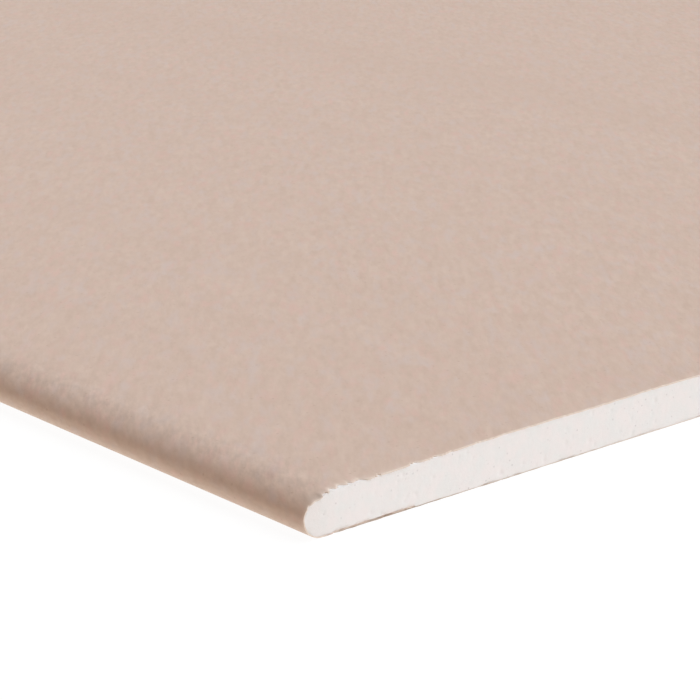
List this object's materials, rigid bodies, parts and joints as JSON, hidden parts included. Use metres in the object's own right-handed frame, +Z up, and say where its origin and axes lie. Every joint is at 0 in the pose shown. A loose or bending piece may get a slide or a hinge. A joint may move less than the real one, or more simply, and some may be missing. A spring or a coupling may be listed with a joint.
{
  "type": "drywall sheet",
  "caption": "Flat gypsum sheet faced with paper, with tapered half-round long edges and square sawn ends, for lining walls and ceilings.",
  "frame": {"origin": "middle of the back face, which the sheet lies on", "axes": "+X across the width, +Y along the length, +Z up from the back to the face"},
  "size_m": [1.2, 2.4, 0.0125],
  "materials": {
    "gypsum": "matt, sawn",
    "face_paper": "matt, lightly mottled",
    "back_paper": "matt, fibrous"
  },
  "bodies": {
    "root": {"gypsum_core": "gypsum", "face_paper": "face_paper", "back_paper": "back_paper"}
  },
  "joints": []
}
